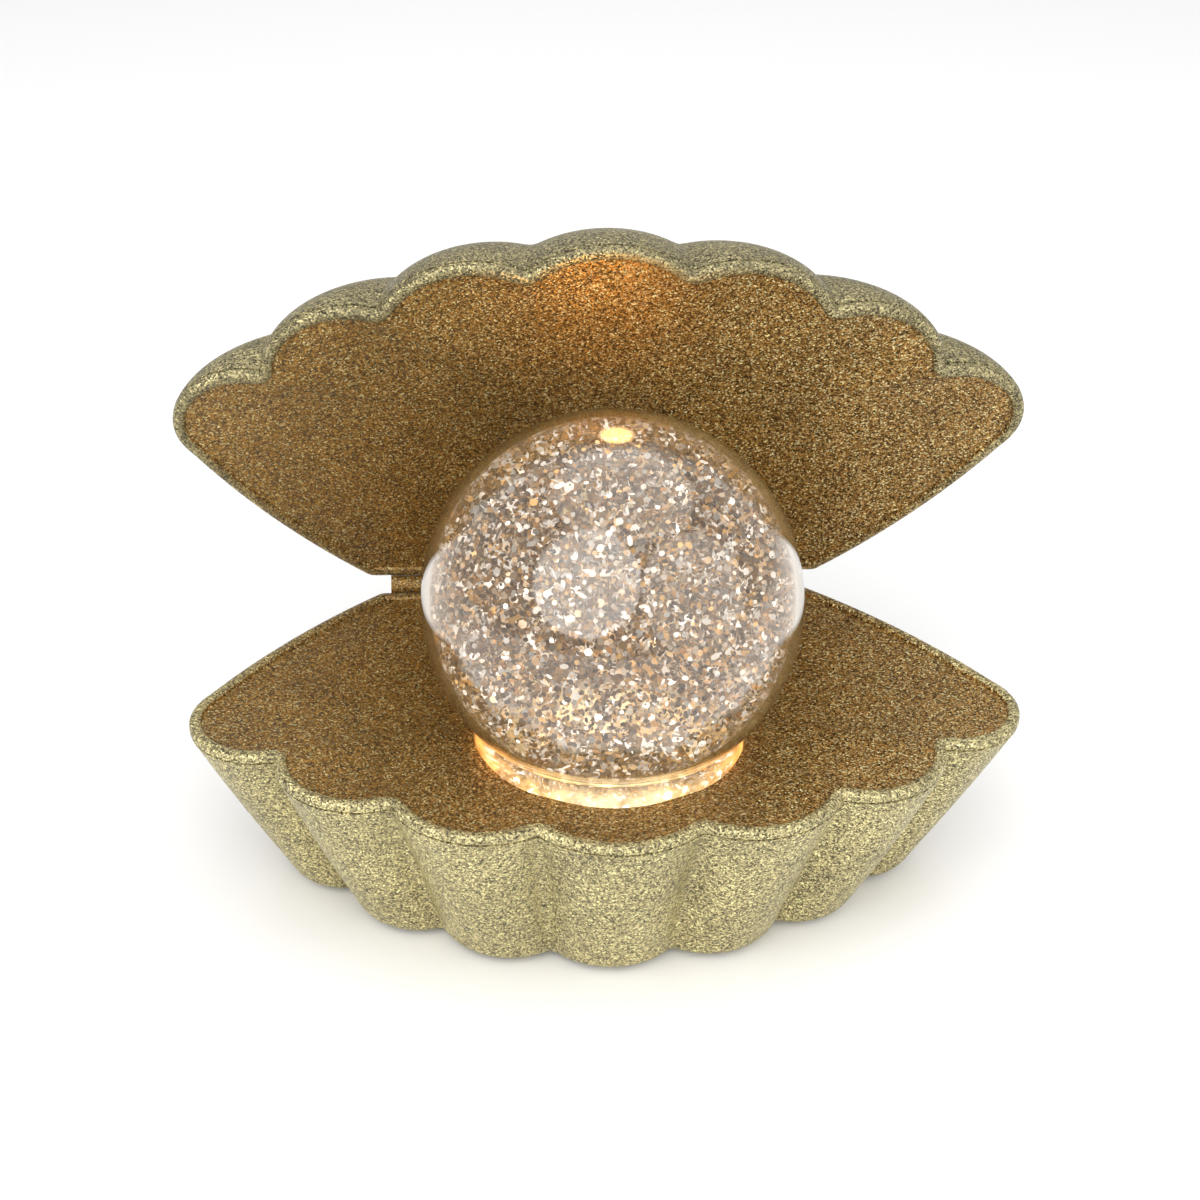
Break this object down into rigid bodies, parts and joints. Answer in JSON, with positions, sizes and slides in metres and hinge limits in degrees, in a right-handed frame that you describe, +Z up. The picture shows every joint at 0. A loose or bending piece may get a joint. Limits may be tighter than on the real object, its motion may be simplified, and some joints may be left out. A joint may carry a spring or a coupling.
{
  "type": "clam-shell glitter globe lamp",
  "caption": "Open scalloped clam shell holding a clear liquid globe of glitter, stirred by a magnetic drive and lit from below.",
  "frame": {"origin": "middle of the footprint, on the surface that the lamp stands on", "axes": "+Z up, -Y to the front of the open shell, X along the hinge line"},
  "size_m": [0.2324, 0.1614, 0.181],
  "materials": {
    "pale_glitter": "pale champagne gold with fine glitter",
    "bronze_glitter": "bronze gold with fine glitter",
    "clear_globe": "clear moulded plastic",
    "liquid": "clear liquid full of silver and gold flakes",
    "clear_plug": "clear moulded plastic",
    "frosted_plastic": "frosted",
    "white_plastic": "plain moulded",
    "black_plastic": "plain moulded",
    "black_rubber": "soft",
    "steel": "bright",
    "magnet": "nickel plated",
    "circuit_board": "green lacquer",
    "warm_lamps": "lit, warm white",
    "cell_wrap": "plain printed sleeve",
    "wire": "insulated wire"
  },
  "bodies": {
    "base": {"lower_shell": "pale_glitter", "deck": "bronze_glitter", "base_hinge_bracket": "bronze_glitter", "hinge_pin": "steel", "friction_washers": "black_plastic", "base_hinge_screws": "steel", "globe": "clear_globe", "globe_liquid": "liquid", "globe_plug": "clear_plug", "globe_seal": "black_rubber", "globe_collar": "white_plastic", "collar_screws": "steel", "impeller_spindle": "steel", "diffuser": "frosted_plastic", "led_board": "circuit_board", "leds": "warm_lamps", "motor": "steel", "motor_bracket": "white_plastic", "bracket_screws": "steel", "battery_box": "black_plastic", "batteries": "cell_wrap", "contact_springs": "steel", "contact_plates": "steel", "switch_body": "black_plastic", "control_board": "circuit_board", "board_parts": "black_plastic", "wire_loom": "wire", "case_screws": "steel", "rubber_feet": "black_rubber"},
    "lid": {"lid_shell": "pale_glitter", "lid_liner": "bronze_glitter", "lid_hinge_bracket": "bronze_glitter", "lid_hinge_screws": "steel"},
    "stirrer": {"impeller": "white_plastic", "impeller_magnet": "magnet"},
    "rotor": {"drive_rotor": "white_plastic", "drive_magnets": "magnet"},
    "door": {"battery_door": "pale_glitter", "door_screw": "steel"},
    "switch": {"switch_knob": "black_plastic"}
  },
  "joints": [
    {"name": "lid_hinge", "type": "hinge", "parent": "base", "child": "lid", "pos_m": [0, 0.0475, 0.0574], "axis": [-1, 0, 0], "range_deg": [-6, 25]},
    {"name": "rotor_spin", "type": "hinge", "parent": "base", "child": "rotor", "pos_m": [0, -0.0245, 0.047], "axis": [0, 0, 1], "continuous": true},
    {"name": "stirrer_spin", "type": "hinge", "parent": "base", "child": "stirrer", "pos_m": [0, -0.0245, 0.055], "axis": [0, 0, 1], "continuous": true},
    {"name": "door_hinge", "type": "hinge", "parent": "base", "child": "door", "pos_m": [0, 0.0391, 0.0024], "axis": [1, 0, 0], "range_deg": [0, 80]},
    {"name": "switch_slide", "type": "slide", "parent": "base", "child": "switch", "axis": [1, 0, 0], "range_m": [0, 0.004]}
  ],
  "couplings": [
    {"joint": "stirrer_spin", "follows": "rotor_spin", "ratio": 1}
  ]
}
